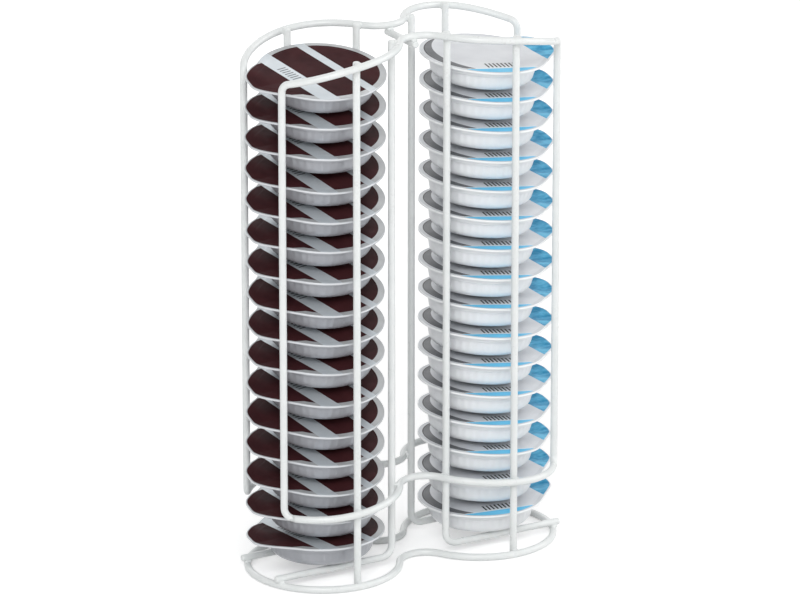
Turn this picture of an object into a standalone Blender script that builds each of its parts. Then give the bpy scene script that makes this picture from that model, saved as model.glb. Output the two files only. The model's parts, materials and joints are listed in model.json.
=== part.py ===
"""Coffee capsule dispenser: a rack of white coated wire that holds two columns of sixteen
flat capsules. Each column is fed from the open top and emptied from the bottom, where a
capsule is pulled out by its tab. All lengths are in metres, +Z is up, +X is the long axis
of the rack and -Y is its front. The origin is on the table, in the middle of the rack.
"""
import math

import bmesh
import bpy
from mathutils import Matrix, Vector

MM = 0.001

# Wire and welds
WIRE_D = 3.8 * MM            # wire, with its coating
WELD_GAP = 0.3 * MM          # clearance at each crossing, which the weld fills
WIRE_SIDES = 8               # facets round a wire

# Plan of the rack: one round lobe for each column, joined by a narrow waist
COLUMN_X = 47.0 * MM         # from the middle of the rack to the axis of a column
ROD_CLEARANCE = 0.4 * MM     # from the flange of a centred capsule to the upright rods
WAIST_HALF = 12.0 * MM       # centre line of the wire, half the width of the waist
LEG_ANGLE = math.radians(30)     # leg of a side loop, from the outer end of the rack
ARC_STEP = math.radians(10)      # longest step along a lobe
WAIST_STEP = math.radians(16)    # longest step along the waist

# Side loops: a wave at the top, a wave near the bottom, and a leg at each end
HEADROOM = 21.6 * MM         # from a flat stack of capsules up to the top wave at the waist
TOP_WAVE_DROP = 11.9 * MM    # how far the top wave falls towards its legs
TOP_WAVE_POWER = 2.7         # the top wave is flat at the waist and falls near its legs
LOW_WAVE_Z = 44.6 * MM       # low wave at the waist
LOW_WAVE_DROP = 4.6 * MM     # how far the low wave falls towards its legs
LEG_BEND_R = 5.0 * MM        # bend from a wave to a leg

# L rods: they stand at the waist, and their feet carry the lowest capsule
FOOT_BEND_R = 6.3 * MM       # bend at the bottom of an L rod
FOOT_OVERHANG = 3.5 * MM     # from the base ring to the end of a foot
L_ROD_TURN = math.radians(1.2)   # from the end of the waist to an L rod
BEND_STEPS = 5               # steps in a bend

# Straight rods and the tie bar
ROD_LIFT = 0.5 * MM          # from the table to a straight rod
TIE_OVERHANG = 3.0 * MM      # from the top wave to the end of the tie bar

# Capsule: a cup with a rounded bottom, a ledge, and a flange with a tab. The foil lid is
# sealed to the flange for good, so it is part of the same solid.
CAPSULES = 16                # in each column
CAPSULE_H = 15.65 * MM       # from the bottom of the cup to the top of the foil
FLANGE_R = 33.2 * MM
FLANGE_T = 1.2 * MM          # flange with the foil on it
TAB_REACH = 41.7 * MM        # from the axis of the capsule to the end of its tab
TAB_WIDTH = 19.0 * MM        # straight end of the tab, over its corners
TAB_CORNER_R = 5.6 * MM      # rounding of the corners of the tab
CUP_BASE_R = 12.0 * MM       # flat middle of the bottom
CUP_BOWL_R = 24.0 * MM       # the bottom slopes up from the flat middle to this radius
CUP_BOWL_SLOPE = math.radians(16)
CUP_HIP_R = 26.8 * MM        # where the rounded bottom meets the wall
CUP_HIP_RISE = 2.9 * MM      # from the edge of the sloping bottom up to the wall
CUP_WALL_R = 28.0 * MM       # top of the wall, under the ledge
LEDGE_OUT = 0.8 * MM         # how far the ledge stands out from the wall
LEDGE_DROP = 2.8 * MM        # from the flange down to the ledge
SEAT_GAP = 0.3 * MM          # clearance wherever one piece lies on another
FLANGE_STEPS = 13            # steps round the flange
CORNER_STEPS = 2             # steps round each corner of the tab

# How the capsules lie in their columns. The lowest one lies flat on the feet. Above it they
# lean on their rounded bottoms: the left column to the front and the right one outwards, and
# near the top each of them a little to the other of these two sides as well.
LEFT_SHIFT = 1.5 * MM        # of the lowest capsule, from the axis of the column outwards
RIGHT_SHIFT = 1.2 * MM
LEFT_DRIFT = -1.4 * MM       # how much further outwards the highest capsule lies
RIGHT_DRIFT = 0.5 * MM
LEFT_LEAN = math.radians(8.5)
RIGHT_LEAN = math.radians(5.2)
LEFT_HEADING = math.radians(12)  # of the highest capsule, from the front to the left end
RIGHT_HEADING = math.radians(42) # of the highest capsule, from the right end to the front
LEFT_SWAY = math.radians(1.4)    # more or less lean, from one capsule to the next
RIGHT_SWAY = math.radians(0.1)
LEAN_STEP = 1.7              # radians of that sway for each capsule
LEAN_LEVELS = 2              # capsules over which the lean builds up
DRIFT_POWER = 3              # most of the change of shift and heading is near the top
TURN = math.radians(2.8)     # largest turn about the upright axis
TURN_STEP = 0.56             # radians of that sway for each capsule

# Shading and colours, linear
SHARP_ANGLE = math.radians(35)
WIRE_WHITE = (0.80, 0.83, 0.83)
CUP_SILVER = (0.42, 0.43, 0.46)
CUP_WHITE = (0.82, 0.84, 0.88)

# Sizes that follow from the ones above
WIRE_R = WIRE_D / 2
FACET_DROP = WIRE_R * math.cos(math.pi / WIRE_SIDES)
CROSSING = WIRE_D + WELD_GAP
RING_Z = FACET_DROP
FOOT_Z = RING_Z + CROSSING
ROD_CIRCLE_R = FLANGE_R + ROD_CLEARANCE + WIRE_R
LOBE_R = ROD_CIRCLE_R + CROSSING

# The waist is an arc that touches both lobes: its centre and radius follow from that
WAIST_R = (COLUMN_X ** 2 + WAIST_HALF ** 2 - LOBE_R ** 2) / (2 * (LOBE_R - WAIST_HALF))
WAIST_Y = WAIST_HALF + WAIST_R
WAIST_TURN = math.atan2(WAIST_Y, COLUMN_X)
L_ROD_ANGLE = WAIST_TURN + L_ROD_TURN
L_ROD_X = COLUMN_X - ROD_CIRCLE_R * math.cos(L_ROD_ANGLE)
L_ROD_Y = ROD_CIRCLE_R * math.sin(L_ROD_ANGLE)
LEG_X = COLUMN_X + LOBE_R * math.cos(LEG_ANGLE)

# The sloping bottom of the lowest capsule rests on the two feet, so its middle sinks between
# them, and the top wave follows the height of the stack
CUP_BOWL_Z = (CUP_BOWL_R - CUP_BASE_R) * math.tan(CUP_BOWL_SLOPE)
BOWL_TO_FOOT = (WIRE_R + SEAT_GAP) / math.cos(CUP_BOWL_SLOPE)
SEAT_Z = FOOT_Z + BOWL_TO_FOOT - (L_ROD_Y - CUP_BASE_R) * math.tan(CUP_BOWL_SLOPE)
TOP_WAVE_Z = SEAT_Z + CAPSULES * (CAPSULE_H + SEAT_GAP) + HEADROOM


def clear_scene():
    for old in list(bpy.data.objects):
        bpy.data.objects.remove(old, do_unlink=True)


def material(name, colour, roughness, metallic=0.0):
    made = bpy.data.materials.new(name)
    made.use_nodes = True
    shader = made.node_tree.nodes["Principled BSDF"]
    shader.inputs["Base Color"].default_value = (*colour, 1.0)
    shader.inputs["Roughness"].default_value = roughness
    shader.inputs["Metallic"].default_value = metallic
    return made


def add_object(name, data, surface, parent=None):
    piece = bpy.data.objects.new(name, data)
    data.materials.append(surface)
    bpy.context.scene.collection.objects.link(piece)
    piece.parent = parent
    return piece


def add_empty(name, place):
    empty = bpy.data.objects.new(name, None)
    bpy.context.scene.collection.objects.link(empty)
    empty.location = place
    return empty


def spread(first, last, longest):
    """Evenly spaced values from first to last, no further apart than longest."""
    steps = max(1, math.ceil(abs(last - first) / longest - 1e-9))
    return [first + (last - first) * i / steps for i in range(steps + 1)]


def half_plan(side, first_angle):
    """Plan points of one long side of the rack, from its left end to its right end.

    side is -1 for the front and +1 for the back. first_angle is where the curve starts
    on each lobe, measured at the axis of the column from the outer end of the rack.
    """
    lobe = [
        (LOBE_R * math.cos(angle), side * LOBE_R * math.sin(angle))
        for angle in spread(first_angle, math.pi - WAIST_TURN, ARC_STEP)
    ]
    left = [Vector((-COLUMN_X - x, y)) for x, y in lobe]
    right = [Vector((COLUMN_X + x, y)) for x, y in reversed(lobe)]
    reach = math.pi / 2 - WAIST_TURN
    waist = [
        Vector((WAIST_R * math.sin(turn), side * (WAIST_Y - WAIST_R * math.cos(turn))))
        for turn in spread(-reach, reach, WAIST_STEP)
    ]
    return left + waist[1:-1] + right


def top_wave_z(x):
    return TOP_WAVE_Z - TOP_WAVE_DROP * (abs(x) / LEG_X) ** TOP_WAVE_POWER


def low_wave_z(x):
    return LOW_WAVE_Z - LOW_WAVE_DROP * math.sin(math.pi / 2 * abs(x) / LEG_X) ** 2


def bend(before, corner, after, radius):
    """Points of the arc that rounds a corner between two straight runs."""
    towards = (before - corner).normalized()
    away = (after - corner).normalized()
    half = towards.angle(away) / 2
    start = corner + towards * radius / math.tan(half)
    middle = corner + (towards + away).normalized() * radius / math.sin(half)
    axis = towards.cross(away).normalized()
    sweep = math.pi - 2 * half
    return [
        middle + Matrix.Rotation(-sweep * i / BEND_STEPS, 3, axis) @ (start - middle)
        for i in range(BEND_STEPS + 1)
    ]


def wire(name, points, closed=False, flat_down=False):
    """A wire along the points. flat_down turns a flat facet to the table."""
    curve = bpy.data.curves.new(name, "CURVE")
    curve.dimensions = "3D"
    curve.bevel_depth = WIRE_R
    curve.bevel_resolution = WIRE_SIDES // 2 - 2
    curve.use_fill_caps = True
    curve.twist_mode = "Z_UP" if flat_down else "MINIMUM"
    spline = curve.splines.new("POLY")
    spline.points.add(len(points) - 1)
    spline.use_cyclic_u = closed
    for knot, point in zip(spline.points, points):
        knot.co = (*point, 1.0)
        knot.tilt = math.pi / WIRE_SIDES if flat_down else 0.0
    spline.use_smooth = True
    return add_object(name, curve, WIRE_COATING)


def base_ring():
    front = half_plan(-1, 0.0)
    back = half_plan(1, 0.0)
    outline = front + back[-2:0:-1]
    wire("base_ring", [Vector((x, y, RING_Z)) for x, y in outline], True, True)


def side_loop(name, side):
    plan = half_plan(side, LEG_ANGLE)
    top = [Vector((x, y, top_wave_z(x))) for x, y in plan]
    low = [Vector((x, y, low_wave_z(x))) for x, y in reversed(plan)]
    path = bend(low[-1], top[0], top[1], LEG_BEND_R) + top[1:-1]
    path += bend(top[-2], top[-1], low[0], LEG_BEND_R)
    path += bend(top[-1], low[0], low[1], LEG_BEND_R) + low[1:-1]
    path += bend(low[-2], low[-1], top[0], LEG_BEND_R)
    wire(name, path, True)


def straight_rod(name, end, side):
    x = end * COLUMN_X
    y = side * ROD_CIRCLE_R
    top = top_wave_z(x) + WIRE_R
    wire(name, [Vector((x, y, ROD_LIFT)), Vector((x, y, top))])


def l_rod(name, end, side):
    x = end * L_ROD_X
    y = side * L_ROD_Y
    ring_crossing = COLUMN_X + math.sqrt(LOBE_R ** 2 - L_ROD_Y ** 2)
    top = Vector((x, y, top_wave_z(x) + WIRE_R))
    corner = Vector((x, y, FOOT_Z))
    foot = Vector((end * (ring_crossing + FOOT_OVERHANG), y, FOOT_Z))
    wire(name, [top, *bend(top, corner, foot, FOOT_BEND_R), foot])


def tie_bar():
    reach = WAIST_HALF + TIE_OVERHANG
    z = top_wave_z(0.0) - CROSSING
    wire("top_tie_bar", [Vector((0.0, -reach, z)), Vector((0.0, reach, z))])


def arc(centre, radius, first, last, steps):
    """Points of an arc in the plan of a capsule, both ends among them."""
    return [
        centre + radius * Vector((math.cos(a), math.sin(a)))
        for a in spread(first, last, abs(last - first) / steps)
    ]


def capsule_outline():
    """Flange outline with its tab towards +X: a straight end with two round corners, and
    sides along the lines that touch both a corner and the round flange."""
    corner = Vector((TAB_REACH - TAB_CORNER_R, TAB_WIDTH / 2 - TAB_CORNER_R))
    bearing = math.atan2(corner.y, corner.x)
    meet = bearing + math.acos((FLANGE_R - TAB_CORNER_R) / corner.length)
    mirrored = Vector((corner.x, -corner.y))
    flange = arc(Vector((0.0, 0.0)), FLANGE_R, meet, 2 * math.pi - meet, FLANGE_STEPS)
    front_corner = arc(mirrored, TAB_CORNER_R, -meet, 0.0, CORNER_STEPS)
    back_corner = arc(corner, TAB_CORNER_R, 0.0, meet, CORNER_STEPS)
    return flange + front_corner + back_corner


def cup_circle(radius, count):
    """Evenly spaced points of a circle, as many as the outline has, in the same order."""
    return [
        radius * Vector((-math.cos(a), -math.sin(a)))
        for a in [2 * math.pi * (i - FLANGE_STEPS / 2) / count for i in range(count)]
    ]


def capsule_mesh():
    """The capsule as a loft through its sections, with the bottom of the cup at z = 0."""
    outline = capsule_outline()
    count = len(outline)
    under_flange = CAPSULE_H - FLANGE_T
    ledge_z = under_flange - LEDGE_DROP
    sections = [
        (cup_circle(CUP_BASE_R, count), 0.0),
        (cup_circle(CUP_BOWL_R, count), CUP_BOWL_Z),
        (cup_circle(CUP_HIP_R, count), CUP_BOWL_Z + CUP_HIP_RISE),
        (cup_circle(CUP_WALL_R, count), ledge_z),
        (cup_circle(CUP_WALL_R + LEDGE_OUT, count), ledge_z),
        (cup_circle(CUP_WALL_R + LEDGE_OUT, count), under_flange),
        (outline, under_flange),
        (outline, CAPSULE_H),
    ]
    mesh = bmesh.new()
    rings = [[mesh.verts.new((*point, z)) for point in points] for points, z in sections]
    for lower, upper in zip(rings, rings[1:]):
        for i in range(count):
            j = (i + 1) % count
            mesh.faces.new((lower[i], lower[j], upper[j], upper[i]))
    mesh.faces.new(reversed(rings[0]))
    mesh.faces.new(rings[-1])
    data = bpy.data.meshes.new("capsule")
    mesh.to_mesh(data)
    mesh.free()
    data.shade_smooth()
    data.set_sharp_from_angle(angle=SHARP_ANGLE)
    return data


def drift(level):
    """Grows from 0 at the lowest capsule to 1 at the highest one."""
    return ((level - 1) / (CAPSULES - 1)) ** DRIFT_POWER


def lean(end, level):
    """How a capsule leans: end is -1 for the left column, level counts from the bottom."""
    full, sway = (LEFT_LEAN, LEFT_SWAY) if end < 0 else (RIGHT_LEAN, RIGHT_SWAY)
    if level <= LEAN_LEVELS:
        angle = full * (level - 1) / LEAN_LEVELS
    else:
        angle = full + sway * math.sin(LEAN_STEP * level + end)
    if end < 0:
        heading = -math.pi / 2 - LEFT_HEADING * drift(level)
    else:
        heading = -RIGHT_HEADING * drift(level)
    axis = Vector((-math.sin(heading), math.cos(heading), 0.0))
    return Matrix.Rotation(angle, 4, axis)


def lid_height(end, level):
    """Height of the middle of a lid. Each capsule above the lowest one stands on the edge of
    its flat middle, at a different lean from the lid that it stands on."""
    upright = Vector((0.0, 0.0, 1.0))
    height = SEAT_Z + CAPSULE_H
    for upper in range(2, level + 1):
        below = lean(end, upper - 1) @ upright
        change = below.angle(lean(end, upper) @ upright)
        step = SEAT_GAP + CAPSULE_H * math.cos(change) + CUP_BASE_R * math.sin(change)
        height += step / below.z
    return height


def capsule_place(end, level):
    """Where a capsule lies. It leans about the middle of its lid."""
    shift, change = (LEFT_SHIFT, LEFT_DRIFT) if end < 0 else (RIGHT_SHIFT, RIGHT_DRIFT)
    x = end * (COLUMN_X + shift + change * drift(level))
    facing = math.pi if end < 0 else 0.0
    return (
        Matrix.Translation((x, 0.0, lid_height(end, level)))
        @ lean(end, level)
        @ Matrix.Rotation(facing + end * TURN * math.sin(TURN_STEP * level), 4, "Z")
        @ Matrix.Translation((0.0, 0.0, -CAPSULE_H))
    )


def column(side_name, end, surface):
    """One column: the capsule at the bottom, the stack on it, and the capsule at the top."""
    groups = {
        "bottom": range(1, 2),
        "stack": range(2, CAPSULES),
        "top": range(CAPSULES, CAPSULES + 1),
    }
    for group, levels in groups.items():
        base = Vector((end * COLUMN_X, 0.0, lid_height(end, levels[0]) - CAPSULE_H))
        slide = add_empty(f"{side_name}_{group}_slide", base)
        for level in levels:
            name = f"capsule_{side_name}_{level:02d}"
            capsule = add_object(name, capsule_mesh(), surface, slide)
            capsule.matrix_local = Matrix.Translation(-base) @ capsule_place(end, level)


clear_scene()
WIRE_COATING = material("white_wire_coating", WIRE_WHITE, 0.35)
base_ring()
for side_word, side_sign in (("front", -1), ("back", 1)):
    side_loop(f"{side_word}_loop", side_sign)
    for end_word, end_sign in (("left", -1), ("right", 1)):
        straight_rod(f"straight_rod_{side_word}_{end_word}", end_sign, side_sign)
        l_rod(f"l_rod_{side_word}_{end_word}", end_sign, side_sign)
tie_bar()
column("left", -1, material("silver_cup", CUP_SILVER, 0.38, 0.35))
column("right", 1, material("white_cup", CUP_WHITE, 0.35))
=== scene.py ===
"""Looks of the coffee capsule dispenser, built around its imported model. All lengths are in
metres, +Z is up, +X is the long axis of the rack and -Y is its front.
"""
import json
import math

import bmesh
import bpy
from mathutils import Matrix, Vector

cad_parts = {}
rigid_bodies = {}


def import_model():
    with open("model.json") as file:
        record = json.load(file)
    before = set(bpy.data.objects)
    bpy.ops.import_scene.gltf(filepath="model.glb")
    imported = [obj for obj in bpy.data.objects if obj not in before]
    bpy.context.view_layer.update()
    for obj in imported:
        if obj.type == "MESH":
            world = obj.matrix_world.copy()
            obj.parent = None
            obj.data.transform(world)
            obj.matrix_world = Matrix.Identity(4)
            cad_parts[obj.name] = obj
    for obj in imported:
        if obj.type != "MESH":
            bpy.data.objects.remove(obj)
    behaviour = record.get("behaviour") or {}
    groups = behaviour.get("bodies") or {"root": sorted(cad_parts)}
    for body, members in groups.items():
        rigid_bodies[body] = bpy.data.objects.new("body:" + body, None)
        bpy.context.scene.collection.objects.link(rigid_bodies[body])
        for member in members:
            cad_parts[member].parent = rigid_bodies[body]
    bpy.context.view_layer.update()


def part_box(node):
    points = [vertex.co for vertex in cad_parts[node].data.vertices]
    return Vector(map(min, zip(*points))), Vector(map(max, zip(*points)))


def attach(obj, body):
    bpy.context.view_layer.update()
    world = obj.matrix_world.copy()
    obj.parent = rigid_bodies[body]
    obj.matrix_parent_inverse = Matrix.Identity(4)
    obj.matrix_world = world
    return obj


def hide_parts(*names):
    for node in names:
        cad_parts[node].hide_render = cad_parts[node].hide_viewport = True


for old in list(bpy.data.objects):
    bpy.data.objects.remove(old, do_unlink=True)
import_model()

MM = 0.001

# Sizes read from the frame: the axis of a column, the wire and the circle of its rods
ROD_LOW, ROD_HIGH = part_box("straight_rod_back_right")
COLUMN_X = (ROD_LOW.x + ROD_HIGH.x) / 2
WIRE_R = (ROD_HIGH.x - ROD_LOW.x) / 2
ROD_CIRCLE_R = (ROD_LOW.y + ROD_HIGH.y) / 2
ROD_BOTTOM_Z = ROD_LOW.z

# Sizes of the rack repeated from the solids, which the frame doesn't give by itself
WELD_GAP = 0.3 * MM
RING_Z = 1.755 * MM          # middle of the base ring's wire, which is faceted in the solids
WAIST_HALF = 12.0 * MM
LEG_ANGLE = math.radians(30)
HEADROOM = 21.6 * MM
TOP_WAVE_DROP = 11.9 * MM
TOP_WAVE_POWER = 2.7
LOW_WAVE_Z = 44.6 * MM
LOW_WAVE_DROP = 4.6 * MM
LEG_BEND_R = 5.0 * MM
FOOT_BEND_R = 6.3 * MM
FOOT_OVERHANG = 3.5 * MM
L_ROD_TURN = math.radians(1.2)
TIE_OVERHANG = 3.0 * MM

# Sizes of a capsule, repeated from the solids
CAPSULES = 16
CAPSULE_H = 15.65 * MM
FLANGE_R = 33.2 * MM
FLANGE_T = 1.2 * MM
TAB_REACH = 41.7 * MM
CUP_BASE_R = 12.0 * MM
CUP_BOWL_R = 24.0 * MM
CUP_BOWL_SLOPE = math.radians(16)
CUP_HIP_R = 26.8 * MM
CUP_HIP_RISE = 2.9 * MM
CUP_WALL_R = 28.0 * MM
LEDGE_OUT = 0.8 * MM
LEDGE_DROP = 2.8 * MM
SEAT_GAP = 0.3 * MM

# How the capsules lie in their columns, repeated from the solids
LEFT_SHIFT = 1.5 * MM
RIGHT_SHIFT = 1.2 * MM
LEFT_DRIFT = -1.4 * MM
RIGHT_DRIFT = 0.5 * MM
LEFT_LEAN = math.radians(8.5)
RIGHT_LEAN = math.radians(5.2)
LEFT_HEADING = math.radians(12)
RIGHT_HEADING = math.radians(42)
LEFT_SWAY = math.radians(1.4)
RIGHT_SWAY = math.radians(0.1)
LEAN_STEP = 1.7
LEAN_LEVELS = 2
DRIFT_POWER = 3
TURN = math.radians(2.8)
TURN_STEP = 0.56

# Fineness and ends of the wires
ARC_STEP = math.radians(3)
BEND_STEPS = 8
WIRE_RESOLUTION = 6
STEP_SLACK = 1e-9            # keeps a whole number of steps from being rounded up
LEG_SKIP = 2                 # points that the bend to a leg leaves out of a wave
# Depth from the tip and thickness of a rounded end, as shares of the radius of the wire
WIRE_END = ((0.0, 0.62), (0.06, 0.78), (0.18, 0.91), (0.36, 0.98), (0.6, 1.0))

# Fine shape of a capsule
OUTLINE_STEP = 0.9 * MM      # between two points round the flange
FLUTES = 44                  # shallow ribs round the wall of the cup
FLUTE_DEPTH = 0.24 * MM
TAB_CORNER_R = 9.6 * MM
TAB_CORNER_X = TAB_REACH - TAB_CORNER_R     # middle of the round corners of the tab
TAB_CORNER_Y = 1.6 * MM
CURL_START = 25.0 * MM       # the tab curls up and twists from here
TWIST_END = 38.0 * MM        # from here on it has its whole twist
TAB_CURL = 1.0 * MM          # rise of its tip
TAB_TWIST = 0.19             # rise over width
TWIST_FRONT = 4.0 * MM       # in front of here the tab drops no further
FOIL_T = 0.15 * MM           # foil lid on the flange
FOIL_INSET = 0.35 * MM       # from the edge of the flange to the edge of the foil
SHARP_ANGLE = math.radians(38)
INNER_SHARES = (0.94, 0.88, 0.82, 0.6, 0.4, 0.2)  # rings of a cup's top and of a lid's middle

# Profile of a cup from its middle outwards. Each row is a distance outwards and one upwards, in
# millimetres, and then the share of the ribs' depth, where there are ribs.
CUP_DIMPLE = ((9.2, 0.35), (9.8, 0.2), (10.4, 0.0))         # from the middle of its bottom
BOWL_MIDDLE_R = 18.0 * MM
BOWL_EDGE = (                                               # from the edge of its bowl
    (-1.2, -0.32, 0.0), (0.0, 0.05, 0.0), (1.0, 0.6, 0.0), (1.8, 1.3, 0.2), (2.4, 2.1, 0.6)
)
WALL_SHARES = (0.25, 0.5, 0.75, 0.92)                       # rings from the hip to the ledge
LEDGE_CORNER = ((0.0, -0.12, 0.4), (0.15, 0.02, 0.0))       # from the wall, at the ledge
LEDGE_EDGE = ((-0.2, 0.04), (-0.05, 0.12), (0.0, 0.3))      # from the ledge
LEDGE_TOP = ((0.0, -0.35), (0.1, -0.12), (0.4, 0.0))        # from the underside of the flange
FLANGE_SHARES = (0.25, 0.5, 0.7, 0.85)                      # rings of the flange's underside

# Edge of the flange and the foil lid. Each row is a distance inwards from their outline and one
# upwards, in millimetres.
FLANGE_LOW = ((0.5, 0.0), (0.12, 0.06), (0.0, 0.22))        # from the underside of the flange
FLANGE_HIGH = (                                             # from the underside of the foil
    (0.0, -0.16), (0.08, -0.05), (0.2, 0.0), (1.5, 0.0), (3.0, 0.0), (4.65, 0.0)
)
FOIL_LOW = (                                                # from the underside of the foil
    (4.3, -0.02), (2.8, -0.02), (1.3, -0.02), (0.02, -0.02), (0.0, 0.02)
)
FOIL_HIGH = (                                               # from the top of the foil
    (0.0, -0.05), (0.08, -0.01), (0.3, 0.0), (0.6, 0.0), (1.0, 0.0), (1.6, -0.01),
    (2.2, -0.01), (2.8, 0.0), (3.3, -0.02), (3.7, -0.07), (4.3, -0.08)
)
FOIL_FAR = 9.0               # stands for every distance beyond the pressed seal ring

CROSSING = 2 * WIRE_R + WELD_GAP
LOBE_R = ROD_CIRCLE_R + CROSSING
FOOT_Z = RING_Z + CROSSING
WAIST_R = (COLUMN_X ** 2 + WAIST_HALF ** 2 - LOBE_R ** 2) / (2 * (LOBE_R - WAIST_HALF))
WAIST_Y = WAIST_HALF + WAIST_R
WAIST_TURN = math.atan2(WAIST_Y, COLUMN_X)
L_ROD_ANGLE = WAIST_TURN + L_ROD_TURN
L_ROD_X = COLUMN_X - ROD_CIRCLE_R * math.cos(L_ROD_ANGLE)
L_ROD_Y = ROD_CIRCLE_R * math.sin(L_ROD_ANGLE)
LEG_X = COLUMN_X + LOBE_R * math.cos(LEG_ANGLE)
RING_CROSSING_X = COLUMN_X + math.sqrt(LOBE_R ** 2 - L_ROD_Y ** 2)
CUP_BOWL_Z = (CUP_BOWL_R - CUP_BASE_R) * math.tan(CUP_BOWL_SLOPE)
BOWL_TO_FOOT = (WIRE_R + SEAT_GAP) / math.cos(CUP_BOWL_SLOPE)
SEAT_Z = FOOT_Z + BOWL_TO_FOOT - (L_ROD_Y - CUP_BASE_R) * math.tan(CUP_BOWL_SLOPE)
TOP_WAVE_Z = SEAT_Z + CAPSULES * (CAPSULE_H + SEAT_GAP) + HEADROOM


def new_object(name, data, *surfaces):
    piece = bpy.data.objects.new(name, data)
    for surface in surfaces:
        if surface.name not in data.materials:
            data.materials.append(surface)
    bpy.context.scene.collection.objects.link(piece)
    return piece


def spread(first, last, longest):
    """Evenly spaced values from first to last, no further apart than longest."""
    steps = max(1, math.ceil(abs(last - first) / longest - STEP_SLACK))
    return [first + (last - first) * i / steps for i in range(steps + 1)]


def half_plan(side, first_angle):
    """Plan points of one long side of the rack, from its left end to its right end."""
    lobe = [
        (LOBE_R * math.cos(angle), side * LOBE_R * math.sin(angle))
        for angle in spread(first_angle, math.pi - WAIST_TURN, ARC_STEP)
    ]
    left = [Vector((-COLUMN_X - x, y)) for x, y in lobe]
    right = [Vector((COLUMN_X + x, y)) for x, y in reversed(lobe)]
    reach = math.pi / 2 - WAIST_TURN
    waist = [
        Vector((WAIST_R * math.sin(turn), side * (WAIST_Y - WAIST_R * math.cos(turn))))
        for turn in spread(-reach, reach, ARC_STEP)
    ]
    return left + waist[1:-1] + right


def top_wave_z(x):
    return TOP_WAVE_Z - TOP_WAVE_DROP * (abs(x) / LEG_X) ** TOP_WAVE_POWER


def low_wave_z(x):
    return LOW_WAVE_Z - LOW_WAVE_DROP * math.sin(math.pi / 2 * abs(x) / LEG_X) ** 2


def bend(before, corner, after, radius):
    """Points of the arc that rounds a corner between two straight runs."""
    towards = (before - corner).normalized()
    away = (after - corner).normalized()
    half = towards.angle(away) / 2
    start = corner + towards * radius / math.tan(half)
    middle = corner + (towards + away).normalized() * radius / math.sin(half)
    axis = towards.cross(away).normalized()
    sweep = math.pi - 2 * half
    return [
        middle + Matrix.Rotation(-sweep * i / BEND_STEPS, 3, axis) @ (start - middle)
        for i in range(BEND_STEPS + 1)
    ]


def rounded_end(tip, inside):
    """Points and thicknesses that round the end of a wire, from its tip inwards."""
    inwards = (inside - tip).normalized()
    return [(tip + inwards * WIRE_R * depth, thickness) for depth, thickness in WIRE_END]


def wire(name, points, closed=False):
    """A smooth wire along the points, which replaces the node it is named after."""
    knots = [(point, 1.0) for point in points]
    if not closed:
        first = rounded_end(points[0], points[1])
        last = rounded_end(points[-1], points[-2])
        knots = first + knots[1:-1] + last[::-1]
    curve = bpy.data.curves.new(f"{name}_wire", "CURVE")
    curve.dimensions = "3D"
    curve.bevel_depth = WIRE_R
    curve.bevel_resolution = WIRE_RESOLUTION
    curve.use_fill_caps = True
    spline = curve.splines.new("POLY")
    spline.points.add(len(knots) - 1)
    spline.use_cyclic_u = closed
    for knot, (point, thickness) in zip(spline.points, knots):
        knot.co = (*point, 1.0)
        knot.radius = thickness
    spline.use_smooth = True
    piece = new_object(f"{name}_wire", curve, WIRE_COATING)
    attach(piece, "root")
    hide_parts(name)


def side_loop(side_name, side):
    plan = half_plan(side, LEG_ANGLE)
    top = [Vector((x, y, top_wave_z(x))) for x, y in plan]
    low = [Vector((x, y, low_wave_z(x))) for x, y in reversed(plan)]
    path = bend(low[-1], top[0], top[LEG_SKIP], LEG_BEND_R) + top[LEG_SKIP:-LEG_SKIP]
    path += bend(top[-LEG_SKIP - 1], top[-1], low[0], LEG_BEND_R)
    path += bend(top[-1], low[0], low[LEG_SKIP], LEG_BEND_R) + low[LEG_SKIP:-LEG_SKIP]
    path += bend(low[-LEG_SKIP - 1], low[-1], top[0], LEG_BEND_R)
    wire(f"{side_name}_loop", path, True)


def straight_rod(name, end, side):
    x, y = end * COLUMN_X, side * ROD_CIRCLE_R
    wire(name, [Vector((x, y, ROD_BOTTOM_Z)), Vector((x, y, top_wave_z(x) + WIRE_R))])


def l_rod(name, end, side):
    x, y = end * L_ROD_X, side * L_ROD_Y
    head = Vector((x, y, top_wave_z(x) + WIRE_R))
    corner = Vector((x, y, FOOT_Z))
    foot = Vector((end * (RING_CROSSING_X + FOOT_OVERHANG), y, FOOT_Z))
    wire(name, [head, *bend(head, corner, foot, FOOT_BEND_R), foot])


def wires():
    front = half_plan(-1, 0.0)
    back = half_plan(1, 0.0)
    wire("base_ring", [Vector((x, y, WIRE_R)) for x, y in front + back[-2:0:-1]], True)
    for side_name, side in (("front", -1), ("back", 1)):
        side_loop(side_name, side)
        for end_name, end in (("left", -1), ("right", 1)):
            straight_rod(f"straight_rod_{side_name}_{end_name}", end, side)
            l_rod(f"l_rod_{side_name}_{end_name}", end, side)
    reach = WAIST_HALF + TIE_OVERHANG
    z = TOP_WAVE_Z - CROSSING
    wire("top_tie_bar", [Vector((0.0, -reach, z)), Vector((0.0, reach, z))])


# Weld beads: one at each crossing, between the two wires that it joins
BEAD_R = 2.05 * MM           # in the plane that both wires touch
BEAD_FILLET = 0.22 * MM      # the bead is wider between the wires than along them
BEAD_HALF_T = 1.5 * MM
BEAD_ROUND = 24
BEAD_RINGS = 10


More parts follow.
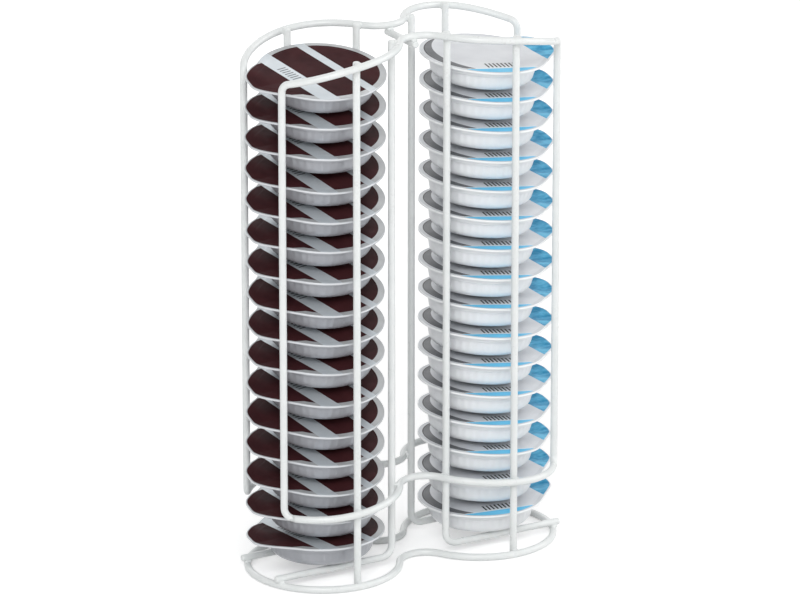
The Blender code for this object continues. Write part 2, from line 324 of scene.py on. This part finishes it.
def crossings():
    """Place and normal of each weld, and the direction of one of its two wires."""
    along_z = Vector((0.0, 0.0, 1.0))
    found = []
    for end in (-1, 1):
        for side in (-1, 1):
            rod = Vector((end * COLUMN_X, side * (ROD_CIRCLE_R + LOBE_R) / 2, 0.0))
            outwards = Vector((0.0, side, 0.0))
            rod_heights = (WIRE_R, low_wave_z(COLUMN_X), top_wave_z(COLUMN_X))
            found += [(rod + along_z * z, outwards, along_z) for z in rod_heights]
            outwards = Vector((-end * math.cos(L_ROD_ANGLE), side * math.sin(L_ROD_ANGLE), 0.0))
            axis = Vector((end * COLUMN_X, 0.0, 0.0))
            waist = axis + outwards * (ROD_CIRCLE_R + LOBE_R) / 2
            loop_x = (axis + outwards * LOBE_R).x
            waist_heights = (low_wave_z(loop_x), top_wave_z(loop_x))
            found += [(waist + along_z * z, outwards, along_z) for z in waist_heights]
            foot = Vector((end * RING_CROSSING_X, side * L_ROD_Y, (RING_Z + FOOT_Z) / 2))
            found.append((foot, along_z, Vector((1.0, 0.0, 0.0))))
    for side in (-1, 1):
        tie = Vector((0.0, side * WAIST_HALF, TOP_WAVE_Z - CROSSING / 2))
        found.append((tie, along_z, Vector((0.0, 1.0, 0.0))))
    return found


def add_bead(mesh, place, normal, along):
    across = normal.cross(along)
    rows = []
    for ring in range(1, BEAD_RINGS):
        height = math.pi * ring / BEAD_RINGS
        row = []
        for step in range(BEAD_ROUND):
            turn = 2 * math.pi * step / BEAD_ROUND
            wide = (BEAD_R - BEAD_FILLET * math.cos(4 * turn)) * math.sin(height)
            flat = along * math.cos(turn) + across * math.sin(turn)
            level = normal * BEAD_HALF_T * math.cos(height)
            row.append(mesh.verts.new(place + flat * wide + level))
        rows.append(row)
    for lower, upper in zip(rows, rows[1:]):
        for i in range(BEAD_ROUND):
            j = (i + 1) % BEAD_ROUND
            mesh.faces.new((lower[i], lower[j], upper[j], upper[i]))
    for row, sign in ((rows[0], 1), (rows[-1], -1)):
        pole = mesh.verts.new(place + normal * BEAD_HALF_T * sign)
        for i in range(BEAD_ROUND):
            mesh.faces.new((row[i], row[(i + 1) % BEAD_ROUND], pole))


def weld_beads():
    mesh = bmesh.new()
    for place, normal, along in crossings():
        add_bead(mesh, place, normal, along)
    bmesh.ops.recalc_face_normals(mesh, faces=mesh.faces)
    data = bpy.data.meshes.new("weld_beads")
    mesh.to_mesh(data)
    mesh.free()
    data.shade_smooth()
    piece = new_object("weld_beads", data, WIRE_COATING)
    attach(piece, "root")


# A capsule: its cup and its foil lid, in the frame of one capsule with the tab towards +X
def arc(centre, radius, first, last):
    return [
        centre + radius * Vector((math.cos(a), math.sin(a)))
        for a in spread(first, last, OUTLINE_STEP / radius)
    ]


def capsule_outline(inset):
    """Flange outline with its round tab, moved inwards by inset, as evenly spaced points."""
    corner = Vector((TAB_CORNER_X, TAB_CORNER_Y))
    mirrored = Vector((TAB_CORNER_X, -TAB_CORNER_Y))
    meet = math.atan2(corner.y, corner.x) + math.acos((FLANGE_R - TAB_CORNER_R) / corner.length)
    runs = [
        arc(Vector((0.0, 0.0)), FLANGE_R, meet, 2 * math.pi - meet),
        arc(mirrored, TAB_CORNER_R, -meet, 0.0),
        arc(corner, TAB_CORNER_R, 0.0, meet),
    ]
    points = []
    for run, after in zip(runs, runs[1:] + runs[:1]):
        points += run
        gap = after[0] - run[-1]
        steps = max(1, round(gap.length / OUTLINE_STEP))
        points += [run[-1] + gap * i / steps for i in range(1, steps)]
    count = len(points)
    moved = []
    for i, point in enumerate(points):
        run = points[(i + 1) % count] - points[i - 1]
        moved.append(point - Vector((run.y, -run.x)).normalized() * inset)
    return moved


def cup_ring(outline, radius, flute=0.0):
    """Points of a circle in the directions of the outline, with the ribs of the wall."""
    ring = []
    for point in outline:
        wave = math.cos(FLUTES * math.atan2(point.y, point.x))
        ring.append(point.normalized() * (radius + flute * FLUTE_DEPTH * (wave - 1) / 2))
    return ring


def tab_rise(point, back):
    """How far a tab has come up at a point. back is the sign of y on its rear side."""
    curl = max(0.0, point.x - CURL_START) / (TAB_REACH - CURL_START)
    turn = min(1.0, max(0.0, point.x - CURL_START) / (TWIST_END - CURL_START))
    turn *= turn * (3 - 2 * turn)
    return TAB_CURL * curl ** 2 + TAB_TWIST * max(back * point.y, -TWIST_FRONT) * turn


def loft(name, sections, back, edges=None):
    """A closed body through the sections, each a ring of points at a height or a middle point
    at a height. edges gives each section's distance from the edge of the lid."""
    mesh = bmesh.new()
    layer = mesh.verts.layers.float.new("edge") if edges else None
    rings = []
    for i, (points, z) in enumerate(sections):
        ring = [mesh.verts.new((*point, z + tab_rise(point, back))) for point in points]
        if layer:
            for vert in ring:
                vert[layer] = edges[i]
        rings.append(ring)
    count = len(rings[1])
    for lower, upper in zip(rings[1:], rings[2:-1]):
        for i in range(count):
            j = (i + 1) % count
            mesh.faces.new((lower[i], lower[j], upper[j], upper[i]))
    for i in range(count):
        j = (i + 1) % count
        mesh.faces.new((rings[0][0], rings[1][j], rings[1][i]))
        mesh.faces.new((rings[-1][0], rings[-2][i], rings[-2][j]))
    data = bpy.data.meshes.new(name)
    mesh.to_mesh(data)
    mesh.free()
    data.shade_smooth()
    data.set_sharp_from_angle(angle=SHARP_ANGLE)
    return data


def scaled(points, share):
    return [point * share for point in points]


def cup_mesh(name, back):
    outline = capsule_outline(0.0)
    ledge_r = CUP_WALL_R + LEDGE_OUT
    under_flange = CAPSULE_H - FLANGE_T
    ledge_z = under_flange - LEDGE_DROP
    hip_z = CUP_BOWL_Z + CUP_HIP_RISE
    foil_z = CAPSULE_H - FOIL_T
    wall_slope = (CUP_WALL_R - CUP_HIP_R) / (ledge_z - hip_z)
    middle_z = (BOWL_MIDDLE_R - CUP_BASE_R) * math.tan(CUP_BOWL_SLOPE)

    profile = [(r * MM, z * MM, 0.0) for r, z in CUP_DIMPLE]
    profile += [(CUP_BASE_R, 0.0, 0.0), (BOWL_MIDDLE_R, middle_z, 0.0)]
    profile += [(CUP_BOWL_R + r * MM, CUP_BOWL_Z + z * MM, ribs) for r, z, ribs in BOWL_EDGE]
    profile.append((CUP_HIP_R, hip_z, 1.0))
    for share in WALL_SHARES:
        z = hip_z + (ledge_z - hip_z) * share
        profile.append((CUP_HIP_R + wall_slope * (z - hip_z), z, 1.0))
    profile += [(CUP_WALL_R + r * MM, ledge_z + z * MM, ribs) for r, z, ribs in LEDGE_CORNER]
    profile += [(ledge_r + r * MM, ledge_z + z * MM, 0.0) for r, z in LEDGE_EDGE]
    profile += [(ledge_r + r * MM, under_flange + z * MM, 0.0) for r, z in LEDGE_TOP]

    middle = [Vector((0.0, 0.0))]
    sections = [(middle, profile[0][1])]
    sections += [(cup_ring(outline, r, ribs), z) for r, z, ribs in profile]
    low_edge = [(capsule_outline(i * MM), under_flange + z * MM) for i, z in FLANGE_LOW]
    inner, outer = sections[-1][0], low_edge[0][0]
    for share in FLANGE_SHARES:
        ring = [a.lerp(b, share) for a, b in zip(inner, outer)]
        sections.append((ring, under_flange))
    sections += low_edge
    sections += [(capsule_outline(i * MM), foil_z + z * MM) for i, z in FLANGE_HIGH]
    sections += [(scaled(sections[-1][0], share), foil_z) for share in INNER_SHARES]
    sections.append((middle, foil_z))
    return loft(name, sections, back)


def lid_mesh(name, back):
    """Foil lid. Its print follows its attribute, the distance from its edge in millimetres."""
    under_foil = CAPSULE_H - FOIL_T
    levels = [(inset, under_foil + z * MM) for inset, z in FOIL_LOW]
    levels += [(inset, CAPSULE_H + z * MM) for inset, z in FOIL_HIGH]
    low, high = levels[0][1], levels[-1][1]
    inner = capsule_outline(FOIL_INSET + levels[-1][0] * MM)
    middle = [Vector((0.0, 0.0))]
    sections = [(middle, low)]
    sections += [(scaled(inner, share), low) for share in reversed(INNER_SHARES)]
    sections += [(capsule_outline(FOIL_INSET + inset * MM), z) for inset, z in levels]
    sections += [(scaled(inner, share), high) for share in INNER_SHARES]
    sections.append((middle, high))
    far = [FOIL_FAR] * (len(INNER_SHARES) + 1)
    return loft(name, sections, back, far + [inset for inset, z in levels] + far)


def drift(level):
    """Grows from 0 at the lowest capsule to 1 at the highest one."""
    return ((level - 1) / (CAPSULES - 1)) ** DRIFT_POWER


def lean(end, level):
    """How a capsule leans: end is -1 for the left column, level counts from the bottom."""
    full, sway = (LEFT_LEAN, LEFT_SWAY) if end < 0 else (RIGHT_LEAN, RIGHT_SWAY)
    if level <= LEAN_LEVELS:
        angle = full * (level - 1) / LEAN_LEVELS
    else:
        angle = full + sway * math.sin(LEAN_STEP * level + end)
    if end < 0:
        heading = -math.pi / 2 - LEFT_HEADING * drift(level)
    else:
        heading = -RIGHT_HEADING * drift(level)
    axis = Vector((-math.sin(heading), math.cos(heading), 0.0))
    return Matrix.Rotation(angle, 4, axis)


def lid_height(end, level):
    """Height of the middle of a lid. Each capsule above the lowest one stands on the edge of
    its flat middle, at a different lean from the lid that it stands on."""
    upright = Vector((0.0, 0.0, 1.0))
    height = SEAT_Z + CAPSULE_H
    for upper in range(2, level + 1):
        below = lean(end, upper - 1) @ upright
        change = below.angle(lean(end, upper) @ upright)
        step = SEAT_GAP + CAPSULE_H * math.cos(change) + CUP_BASE_R * math.sin(change)
        height += step / below.z
    return height


def capsule_place(end, level):
    """Where a capsule lies. It leans about the middle of its lid."""
    shift, change = (LEFT_SHIFT, LEFT_DRIFT) if end < 0 else (RIGHT_SHIFT, RIGHT_DRIFT)
    x = end * (COLUMN_X + shift + change * drift(level))
    facing = math.pi if end < 0 else 0.0
    return (
        Matrix.Translation((x, 0.0, lid_height(end, level)))
        @ lean(end, level)
        @ Matrix.Rotation(facing + end * TURN * math.sin(TURN_STEP * level), 4, "Z")
        @ Matrix.Translation((0.0, 0.0, -CAPSULE_H))
    )


def column(side_name, end, cup_surface, lid_surface):
    cup = cup_mesh(f"{side_name}_cup", end)
    lid = lid_mesh(f"{side_name}_lid", end)
    for level in range(1, CAPSULES + 1):
        node = f"capsule_{side_name}_{level:02d}"
        body = f"{side_name}_stack"
        if level == 1:
            body = f"{side_name}_bottom_capsule"
        if level == CAPSULES:
            body = f"{side_name}_top_capsule"
        for part, data, surface in (("cup", cup, cup_surface), ("lid", lid, lid_surface)):
            piece = new_object(f"{node}_{part}", data, surface)
            piece.matrix_world = capsule_place(end, level)
            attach(piece, body)
            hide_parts(node)


# Materials. Their patterns are in millimetres, in the frame of each piece, where the tab of a
# capsule points to +X. A band is its middle and half its width. Noise scales are per millimetre.
PRINT_BLUR = 0.06            # half the width of the soft edge of a print
NOISE_SPREAD = 7.0           # how far apart two pieces can be in the noise
CUP_RIM_HIGHLIGHT_Z = 14.5             # above here a cup has a painted highlight along its rim
CUP_RIM_HIGHLIGHT_BLUR = 0.15
WAFFLE_PITCH = 1.3           # of the fine relief of the seal ring
SEAL_RING = (0.5, 3.0, 3.4)  # distances from the edge: its start, and where it fades and ends
SEAL_BLUR = 0.2
WRINKLE_START, WRINKLE_FULL = 3.0, 5.5
MARK_PITCH = 2.2
MARK_BLUR = 0.08

BROWN_MARGIN, TAB_MARGIN = 3.1, 0.45        # bare foil round the brown print
TAB_MARGIN_X = (21.5, 27.0)                 # the margin narrows between these
BAND_TURN = math.radians(9)
WIDE_BAND = (15.8, 4.6)
NARROW_BAND = (-9.0, 2.6)
BROWN_MARK_WIDTH = 0.9
BROWN_MARK_BAND = (15.8, 2.6)
BROWN_MARK_ENDS = (-13.2, 6.6)

CRESCENT_X, CRESCENT_R = 11.0, 36.0         # the circle that ends the grey crescent
CRESCENT_BLUR = 0.1
PALE_RIM = (2.0, 2.2)                       # distances from the edge: where the rim ends
PALE_RIM_X = (26.0, 30.0)                   # the rim and the crescent fade between these
LINE_BAND = (2.35, 0.28)
LINE_X = (-8.0, 2.0)
STRIP_TURN = math.radians(-100)
STRIP_START = 25.2
STRIP_MARGIN = 0.9
WHITE_BAND = (24.8, 0.45)
PALE_MARK_TURN = math.radians(-10)
PALE_MARK_WIDTH = 1.0
PALE_MARK_BAND = (20.2, 3.2)
PALE_MARK_ENDS = (-6.6, 11.0)
BLUE_TAB_X = 28.0
BLUE_TAB_MARGIN = 0.5
CREASE_X, CREASE_BLUR = 29.0, 1.5


class Surface:
    """One material with short ways to add nodes to it."""

    def __init__(self, name):
        self.material = bpy.data.materials.new(name)
        self.material.use_nodes = True
        self.tree = self.material.node_tree
        self.shader = self.tree.nodes["Principled BSDF"]
        place = self.add("ShaderNodeTexCoord").outputs["Object"]
        scaled = self.add("ShaderNodeVectorMath", operation="SCALE")
        self.link(place, scaled.inputs[0])
        scaled.inputs["Scale"].default_value = 1 / MM
        self.place = scaled.outputs[0]
        split = self.add("ShaderNodeSeparateXYZ")
        self.link(self.place, split.inputs[0])
        self.x, self.y, self.z = split.outputs

    def add(self, kind, **settings):
        node = self.tree.nodes.new(kind)
        for key, value in settings.items():
            setattr(node, key, value)
        return node

    def link(self, value, socket):
        if isinstance(value, bpy.types.NodeSocket):
            self.tree.links.new(value, socket)
        else:
            socket.default_value = value

    def math(self, operation, *values):
        node = self.add("ShaderNodeMath", operation=operation)
        for value, socket in zip(values, node.inputs):
            self.link(value, socket)
        return node.outputs[0]

    def noise(self, scale, detail=2.0, stretch=None):
        """Noise from 0 to 1, different on each piece."""
        place = self.place
        if stretch:
            node = self.add("ShaderNodeVectorMath", operation="MULTIPLY")
            self.link(place, node.inputs[0])
            node.inputs[1].default_value = stretch
            place = node.outputs[0]
        node = self.add("ShaderNodeTexNoise", noise_dimensions="4D")
        self.link(place, node.inputs["Vector"])
        chance = self.add("ShaderNodeObjectInfo").outputs["Random"]
        self.link(self.math("MULTIPLY", chance, NOISE_SPREAD), node.inputs["W"])
        node.inputs["Scale"].default_value = scale
        node.inputs["Detail"].default_value = detail
        return node.outputs["Fac"]

    def between(self, value, low, high, start=0.0, end=1.0):
        """start where value is under low, end where it is over high."""
        node = self.add("ShaderNodeMapRange")
        for item, socket in zip((value, low, high, start, end), node.inputs):
            self.link(item, socket)
        return node.outputs["Result"]

    def over(self, value, limit, blur=PRINT_BLUR):
        """1 where value is over limit."""
        return self.between(value, limit - blur, limit + blur)

    def inverse(self, mask):
        return self.math("SUBTRACT", 1.0, mask)

    def product(self, *values):
        """Two or more values multiplied. Of masks, it is where all of them hold."""
        total = values[0]
        for value in values[1:]:
            total = self.math("MULTIPLY", total, value)
        return total

    def band(self, value, middle, half):
        """1 where value is within half of middle."""
        away = self.math("ABSOLUTE", self.math("SUBTRACT", value, middle))
        return self.between(away, half - PRINT_BLUR, half + PRINT_BLUR, 1.0, 0.0)

    def mix(self, factor, first, second):
        node = self.add("ShaderNodeMix", data_type="RGBA")
        colours = [item for item in node.inputs if item.type == "RGBA"]
        self.link(factor, node.inputs["Factor"])
        for item, socket in zip((first, second), colours):
            self.link(item if isinstance(item, bpy.types.NodeSocket) else (*item, 1.0), socket)
        return next(item for item in node.outputs if item.type == "RGBA")

    def bump(self, height, distance, below=None):
        node = self.add("ShaderNodeBump")
        node.inputs["Strength"].default_value = 1.0
        node.inputs["Distance"].default_value = distance
        self.link(height, node.inputs["Height"])
        if below:
            self.link(below, node.inputs["Normal"])
        return node.outputs["Normal"]

    def finish(self, colour, roughness, normal, metallic=0.0):
        self.link(colour, self.shader.inputs["Base Color"])
        self.link(roughness, self.shader.inputs["Roughness"])
        self.link(normal, self.shader.inputs["Normal"])
        self.link(metallic, self.shader.inputs["Metallic"])
        return self.material


def wire_coating():
    """White powder coat: slightly uneven gloss and tone, with orange peel and a few rubs."""
    s = Surface("white_wire_coating")
    worn_area = s.between(s.noise(0.06, 3.0), 0.56, 0.68)
    worn_spots = s.between(s.noise(0.9, 3.0), 0.5, 0.66)
    rub = s.product(worn_area, worn_spots)
    shade = s.between(s.noise(0.12), 0.35, 0.65)
    tone = s.mix(shade, (0.75, 0.775, 0.77), (0.79, 0.81, 0.805))
    colour = s.mix(s.product(rub, 0.45), tone, (0.60, 0.61, 0.60))
    gloss = s.between(s.noise(0.35, 3.0), 0.3, 0.7, 0.26, 0.38)
    roughness = s.math("ADD", gloss, s.product(rub, 0.15))
    peel = s.bump(s.noise(0.9, 2.0), 0.05 * MM)
    grit = s.bump(s.noise(3.5, 2.0), 0.008 * MM, peel)
    return s.finish(colour, roughness, grit)


def cup_plastic(name, light, dark, rim, metallic, inside_glow):
    """Thin moulded plastic: soft clouds of tone, a painted highlight along the rim and a satin
    skin.
    """
    s = Surface(name)
    cloud = s.noise(0.05, 3.0)
    colour = s.mix(s.between(cloud, 0.3, 0.7), dark, light)
    # Painted highlight: the rim colour is mixed over the top of the cup, above the given height
    above = s.over(s.z, CUP_RIM_HIGHLIGHT_Z, CUP_RIM_HIGHLIGHT_BLUR)
    colour = s.mix(s.product(above, s.between(cloud, 0.2, 0.6, 0.65, 0.95)), colour, rim)
    scuff = s.between(s.noise(0.5, 5.0, (1.0, 1.0, 0.2)), 0.6, 0.75)
    colour = s.mix(s.product(scuff, 0.12), colour, (0.9, 0.9, 0.92))
    satin = s.between(s.noise(0.2, 1.0), 0.3, 0.7, 0.28, 0.40)
    roughness = s.math("ADD", satin, s.product(scuff, 0.08))
    waves = s.bump(s.noise(0.12, 2.0), 0.10 * MM)
    skin = s.bump(s.noise(2.6, 2.0), 0.006 * MM, waves)
    shader = s.shader
    shader.inputs["Subsurface Weight"].default_value = inside_glow
    shader.inputs["Subsurface Radius"].default_value = (1.0, 0.9, 1.0)
    shader.inputs["Subsurface Scale"].default_value = 2.0 * MM
    shader.inputs["Coat Weight"].default_value = 0.15
    shader.inputs["Coat Roughness"].default_value = 0.2
    return s.finish(colour, roughness, skin, metallic)


def foil_relief(s, edge):
    """Pressed seal ring with a fine waffle, soft wrinkles inside it, and rolling marks."""
    ring_start, ring_fade, ring_end = SEAL_RING
    outer = s.over(edge, ring_start, SEAL_BLUR)
    ring = s.product(outer, s.between(edge, ring_fade, ring_end, 1.0, 0.0))
    ripples = [
        s.math("SINE", s.math("MULTIPLY", s.math(kind, s.x, s.y), 2 * math.pi / WAFFLE_PITCH))
        for kind in ("ADD", "SUBTRACT")
    ]
    relief = s.bump(s.product(*ripples, ring), 0.02 * MM)
    folds = s.noise(0.11, 1.0, (1.0, 0.45, 1.0))
    wrinkles = s.product(folds, s.between(edge, WRINKLE_START, WRINKLE_FULL))
    relief = s.bump(wrinkles, 0.3 * MM, relief)
    return s.bump(s.noise(0.9, 1.0, (0.12, 1.6, 1.0)), 0.006 * MM, relief)


def lid_start(name, shine):
    s = Surface(name)
    s.shader.inputs["Specular IOR Level"].default_value = shine
    edge = s.add("ShaderNodeAttribute", attribute_name="edge").outputs["Fac"]
    return s, edge


def slanted(s, angle):
    """Distance in millimetres along a direction in the plane of the lid."""
    node = s.add("ShaderNodeVectorMath", operation="DOT_PRODUCT")
    s.link(s.place, node.inputs[0])
    node.inputs[1].default_value = (math.cos(angle), math.sin(angle), 0.0)
    return node.outputs["Value"]


def ticks(s, along, across, width, band, ends):
    """A row of plain marks, evenly spaced along one direction."""
    first, last = ends
    turn = s.math("FLOORED_MODULO", along, MARK_PITCH)
    mark = s.between(turn, width - MARK_BLUR, width + MARK_BLUR, 1.0, 0.0)
    inside = s.product(s.over(along, first), s.inverse(s.over(along, last)))
    return s.product(mark, s.band(across, *band), inside)


def brown_lid():
    """Silver foil with a dark brown print, crossed by two plain parallel bands."""
    s, edge = lid_start("brown_foil_lid", 0.02)
    on_tab = s.between(s.x, *TAB_MARGIN_X)
    margin = s.between(on_tab, 0.0, 1.0, BROWN_MARGIN, TAB_MARGIN)
    printed = s.over(s.math("SUBTRACT", edge, margin), 0.0)
    across = slanted(s, BAND_TURN)
    along = slanted(s, BAND_TURN + math.pi / 2)
    bands = s.math("MAXIMUM", s.band(across, *WIDE_BAND), s.band(across, *NARROW_BAND))
    marks = ticks(s, along, across, BROWN_MARK_WIDTH, BROWN_MARK_BAND, BROWN_MARK_ENDS)
    shade = s.between(s.noise(0.08, 2.0), 0.3, 0.7)
    brown = s.mix(shade, (0.036, 0.011, 0.013), (0.060, 0.018, 0.020))
    silver = s.mix(shade, (0.46, 0.47, 0.48), (0.56, 0.57, 0.58))
    pale = s.mix(shade, (0.58, 0.625, 0.66), (0.66, 0.70, 0.73))
    colour = s.mix(printed, silver, brown)
    colour = s.mix(bands, colour, pale)
    colour = s.mix(s.product(marks, 0.8), colour, (0.07, 0.08, 0.09))
    covered = s.product(printed, s.inverse(bands))
    metallic = s.between(covered, 0.0, 1.0, 0.4, 0.0)
    satin = s.between(s.noise(0.2, 1.0), 0.3, 0.7, 0.28, 0.38)
    roughness = s.math("ADD", satin, s.product(covered, 0.08))
    return s.finish(colour, roughness, foil_relief(s, edge), metallic)


def pale_lid():
    """Pale foil with a dark grey crescent, a plain blue strip and a blue tab with painted
    highlights and shade on its creases.
    """
    s, edge = lid_start("pale_foil_lid", 0.1)
    from_centre = s.math("POWER", s.math("SUBTRACT", s.x, CRESCENT_X), 2.0)
    radius = s.math("SQRT", s.math("ADD", from_centre, s.math("POWER", s.y, 2.0)))
    off_tab = s.inverse(s.between(s.x, *PALE_RIM_X))
    crescent = s.product(s.over(radius, CRESCENT_R, CRESCENT_BLUR), off_tab)
    on_rim = s.product(s.between(edge, *PALE_RIM, 1.0, 0.0), off_tab)
    line = s.product(s.band(edge, *LINE_BAND), s.between(s.x, *LINE_X, 1.0, 0.0))
    across = slanted(s, STRIP_TURN)
    in_margin = s.over(edge, STRIP_MARGIN)
    strip = s.product(s.over(across, STRIP_START), in_margin)
    white_line = s.product(s.band(across, *WHITE_BAND), in_margin)
    along = slanted(s, PALE_MARK_TURN)
    marks = ticks(s, along, across, PALE_MARK_WIDTH, PALE_MARK_BAND, PALE_MARK_ENDS)
    on_tab = s.product(s.over(s.x, BLUE_TAB_X), s.over(edge, BLUE_TAB_MARGIN))
    shade = s.between(s.noise(0.08, 2.0), 0.3, 0.7)
    field = s.mix(shade, (0.70, 0.715, 0.745), (0.78, 0.795, 0.82))
    grey = s.mix(shade, (0.125, 0.13, 0.14), (0.18, 0.185, 0.195))
    rim = s.mix(shade, (0.64, 0.655, 0.68), (0.71, 0.725, 0.75))
    blue = s.mix(shade, (0.12, 0.54, 0.84), (0.18, 0.61, 0.90))
    crease = s.noise(0.22, 4.0, (0.5, 1.0, 1.0))
    # Painted highlights and shade: the tab's blue is lighter on the raised creases and darker
    # between them
    tab_blue_with_painted_crease_light = s.mix(s.between(crease, 0.41, 0.60), (0.02, 0.27, 0.50), (0.13, 0.52, 0.77))
    colour = s.mix(crescent, field, grey)
    colour = s.mix(on_rim, colour, rim)
    colour = s.mix(line, colour, (0.03, 0.03, 0.035))
    colour = s.mix(white_line, colour, (0.86, 0.87, 0.89))
    colour = s.mix(marks, colour, (0.02, 0.02, 0.022))
    colour = s.mix(strip, colour, blue)
    colour = s.mix(on_tab, colour, tab_blue_with_painted_crease_light)
    covered = s.math("MAXIMUM", strip, s.math("MAXIMUM", on_tab, marks))
    metallic = s.between(covered, 0.0, 1.0, 0.15, 0.0)
    roughness = s.between(s.noise(0.2, 1.0), 0.3, 0.7, 0.28, 0.38)
    creases = s.product(crease, s.over(s.x, CREASE_X, CREASE_BLUR))
    relief = s.bump(creases, 0.5 * MM, foil_relief(s, edge))
    return s.finish(colour, roughness, relief, metallic)


# Stage, lights and camera
FLOOR_R = 12.0
FLOOR_SIDES = 64
FLOOR_TONE = 0.87
# The far floor is out of reach of the lamps and glows more
FLOOR_NEAR, FLOOR_FAR = 0.35, 1.6
FLOOR_NEAR_GLOW, FLOOR_FAR_GLOW = 0.36, 0.60
WORLD_LIGHT, WORLD_SEEN = 0.5, 1.0      # as a light on the pieces, and as the background
LAMP_AIM = Vector((0.0, 0.0, 0.14))
# The camera of the photo, solved from the wires
CAMERA_PLACE = (-1.5440, -2.6385, 1.1610)
CAMERA_DOWN = math.radians(18.499)
CAMERA_TURN = math.radians(-30.321)
FOCAL_LENGTH = 280.28
SENSOR_WIDTH = 36.0
CLIP_END = 30.0


def seen_directly(tree):
    """1 for what the camera sees directly or in a reflection or through something clear."""
    rays = tree.nodes.new("ShaderNodeLightPath").outputs
    seen = rays["Is Camera Ray"]
    for kind in ("Is Glossy Ray", "Is Transmission Ray"):
        either = tree.nodes.new("ShaderNodeMath")
        either.operation = "MAXIMUM"
        tree.links.new(seen, either.inputs[0])
        tree.links.new(rays[kind], either.inputs[1])
        seen = either.outputs[0]
    return seen


def stage_floor():
    mesh = bmesh.new()
    bmesh.ops.create_circle(mesh, cap_ends=True, segments=FLOOR_SIDES, radius=FLOOR_R)
    data = bpy.data.meshes.new("floor")
    mesh.to_mesh(data)
    mesh.free()
    made = bpy.data.materials.new("pale_floor")
    made.use_nodes = True
    tree = made.node_tree
    tree.nodes.clear()
    out = tree.nodes.new("ShaderNodeOutputMaterial")
    add = tree.nodes.new("ShaderNodeAddShader")
    diffuse = tree.nodes.new("ShaderNodeBsdfDiffuse")
    diffuse.inputs["Color"].default_value = (FLOOR_TONE, FLOOR_TONE, FLOOR_TONE, 1.0)
    emission = tree.nodes.new("ShaderNodeEmission")
    place = tree.nodes.new("ShaderNodeTexCoord")
    distance = tree.nodes.new("ShaderNodeVectorMath")
    distance.operation = "LENGTH"
    tree.links.new(place.outputs["Object"], distance.inputs[0])
    level = tree.nodes.new("ShaderNodeMapRange")
    level.inputs["From Min"].default_value = FLOOR_NEAR
    level.inputs["From Max"].default_value = FLOOR_FAR
    level.inputs["To Min"].default_value = FLOOR_NEAR_GLOW
    level.inputs["To Max"].default_value = FLOOR_FAR_GLOW
    tree.links.new(distance.outputs["Value"], level.inputs["Value"])
    strength = tree.nodes.new("ShaderNodeMath")
    strength.operation = "MULTIPLY"
    tree.links.new(seen_directly(tree), strength.inputs[0])
    tree.links.new(level.outputs["Result"], strength.inputs[1])
    tree.links.new(strength.outputs[0], emission.inputs["Strength"])
    tree.links.new(diffuse.outputs[0], add.inputs[0])
    tree.links.new(emission.outputs[0], add.inputs[1])
    tree.links.new(add.outputs[0], out.inputs["Surface"])
    new_object("floor", data, made)


def world_light():
    world = bpy.data.worlds.new("studio")
    bpy.context.scene.world = world
    world.use_nodes = True
    tree = world.node_tree
    background = tree.nodes["Background"]
    level = tree.nodes.new("ShaderNodeMapRange")
    level.inputs["To Min"].default_value = WORLD_LIGHT
    level.inputs["To Max"].default_value = WORLD_SEEN
    tree.links.new(seen_directly(tree), level.inputs["Value"])
    tree.links.new(level.outputs["Result"], background.inputs["Strength"])
    background.inputs["Color"].default_value = (1.0, 1.0, 1.0, 1.0)


def area_light(name, place, size, power):
    lamp = bpy.data.lights.new(name, "AREA")
    lamp.shape = "DISK"
    lamp.size = size
    lamp.energy = power
    piece = bpy.data.objects.new(name, lamp)
    bpy.context.scene.collection.objects.link(piece)
    piece.location = place
    piece.rotation_euler = (LAMP_AIM - Vector(place)).to_track_quat("-Z", "Y").to_euler()
    piece.visible_camera = False


def camera():
    lens = bpy.data.cameras.new("photo_view")
    lens.sensor_width = SENSOR_WIDTH
    lens.lens = FOCAL_LENGTH
    lens.clip_end = CLIP_END
    piece = bpy.data.objects.new("photo_view", lens)
    bpy.context.scene.collection.objects.link(piece)
    piece.location = CAMERA_PLACE
    piece.rotation_euler = (math.pi / 2 - CAMERA_DOWN, 0.0, CAMERA_TURN)
    bpy.context.scene.camera = piece


WIRE_COATING = wire_coating()
wires()
weld_beads()
# rim is the colour of the painted highlight along the top of each cup
SILVER_CUP = cup_plastic(
    "silver_cup_plastic", light=(0.46, 0.47, 0.50), dark=(0.37, 0.38, 0.41),
    rim=(0.66, 0.68, 0.70), metallic=0.25, inside_glow=0.0
)
WHITE_CUP = cup_plastic(
    "white_cup_plastic", light=(0.84, 0.86, 0.875), dark=(0.79, 0.81, 0.83),
    rim=(0.90, 0.91, 0.92), metallic=0.0, inside_glow=0.2
)
column("left", -1, SILVER_CUP, brown_lid())
column("right", 1, WHITE_CUP, pale_lid())
stage_floor()
world_light()
area_light("key", (-1.3, -1.9, 1.6), size=1.5, power=36.0)
area_light("fill", (2.2, -0.9, 1.2), size=2.0, power=24.0)
area_light("back", (0.4, 2.4, 1.5), size=2.0, power=11.0)
camera()
bpy.context.scene.view_settings.view_transform = "Standard"
